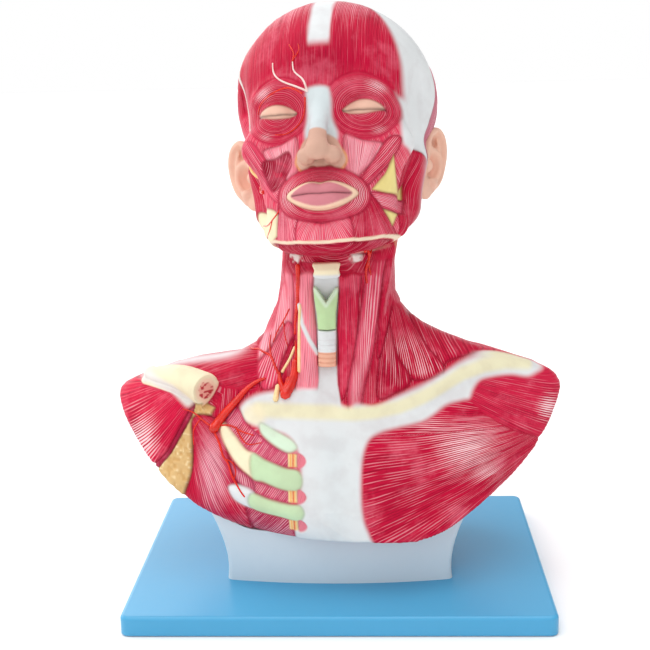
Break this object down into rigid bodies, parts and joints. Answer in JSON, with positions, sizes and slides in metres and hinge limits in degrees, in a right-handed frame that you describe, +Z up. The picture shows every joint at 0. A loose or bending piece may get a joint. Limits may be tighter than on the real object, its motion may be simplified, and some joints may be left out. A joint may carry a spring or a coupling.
{
  "type": "muscle anatomy bust",
  "caption": "Life-size anatomical bust of head, neck and shoulders showing muscles, vessels and nerves, on a pale plinth and a flat rectangular board.",
  "frame": {"origin": "centre of the board's footprint, on the surface that the feet stand on", "axes": "+Z up, the bust faces -Y, the bust's own left side is towards +X"},
  "size_m": [0.3595, 0.24, 0.461],
  "materials": {
    "board_blue": "satin moulded plastic",
    "foot_rubber": "soft dark rubber",
    "plinth_pale": "satin pale blue-grey casting",
    "muscle_torso": "hand-painted crimson muscle with pale tendons, semi-gloss lacquer",
    "muscle_head": "hand-painted crimson muscle with pale tendons, semi-gloss lacquer",
    "ear_skin": "painted flesh colour, satin",
    "bone_cream": "painted bone, satin",
    "cartilage_green": "painted pale green cartilage, satin",
    "windpipe_tan": "painted ringed windpipe, satin",
    "artery_red": "gloss red",
    "nerve_yellow": "gloss yellow",
    "nerve_white": "gloss off-white",
    "block_wood": "plain sawn block",
    "screw_steel": "zinc-plated steel"
  },
  "bodies": {
    "root": {"base_board": "board_blue", "base_feet": "foot_rubber", "plinth": "plinth_pale", "torso_shell": "muscle_torso", "head_shell": "muscle_head", "right_ear": "ear_skin", "left_ear": "ear_skin", "hyoid_bone": "bone_cream", "thyroid_cartilage": "cartilage_green", "trachea": "windpipe_tan", "right_common_carotid_artery": "artery_red", "right_subclavian_artery": "artery_red", "right_temporal_artery": "artery_red", "right_vagus_nerve": "nerve_yellow", "right_brachiocephalic_artery": "artery_red", "right_suprascapular_artery": "artery_red", "right_supraorbital_nerve": "nerve_white", "bust_mounting_block": "block_wood", "plinth_screws": "screw_steel", "plinth_washers": "screw_steel", "bust_screws": "screw_steel", "bust_washers": "screw_steel"}
  },
  "joints": []
}
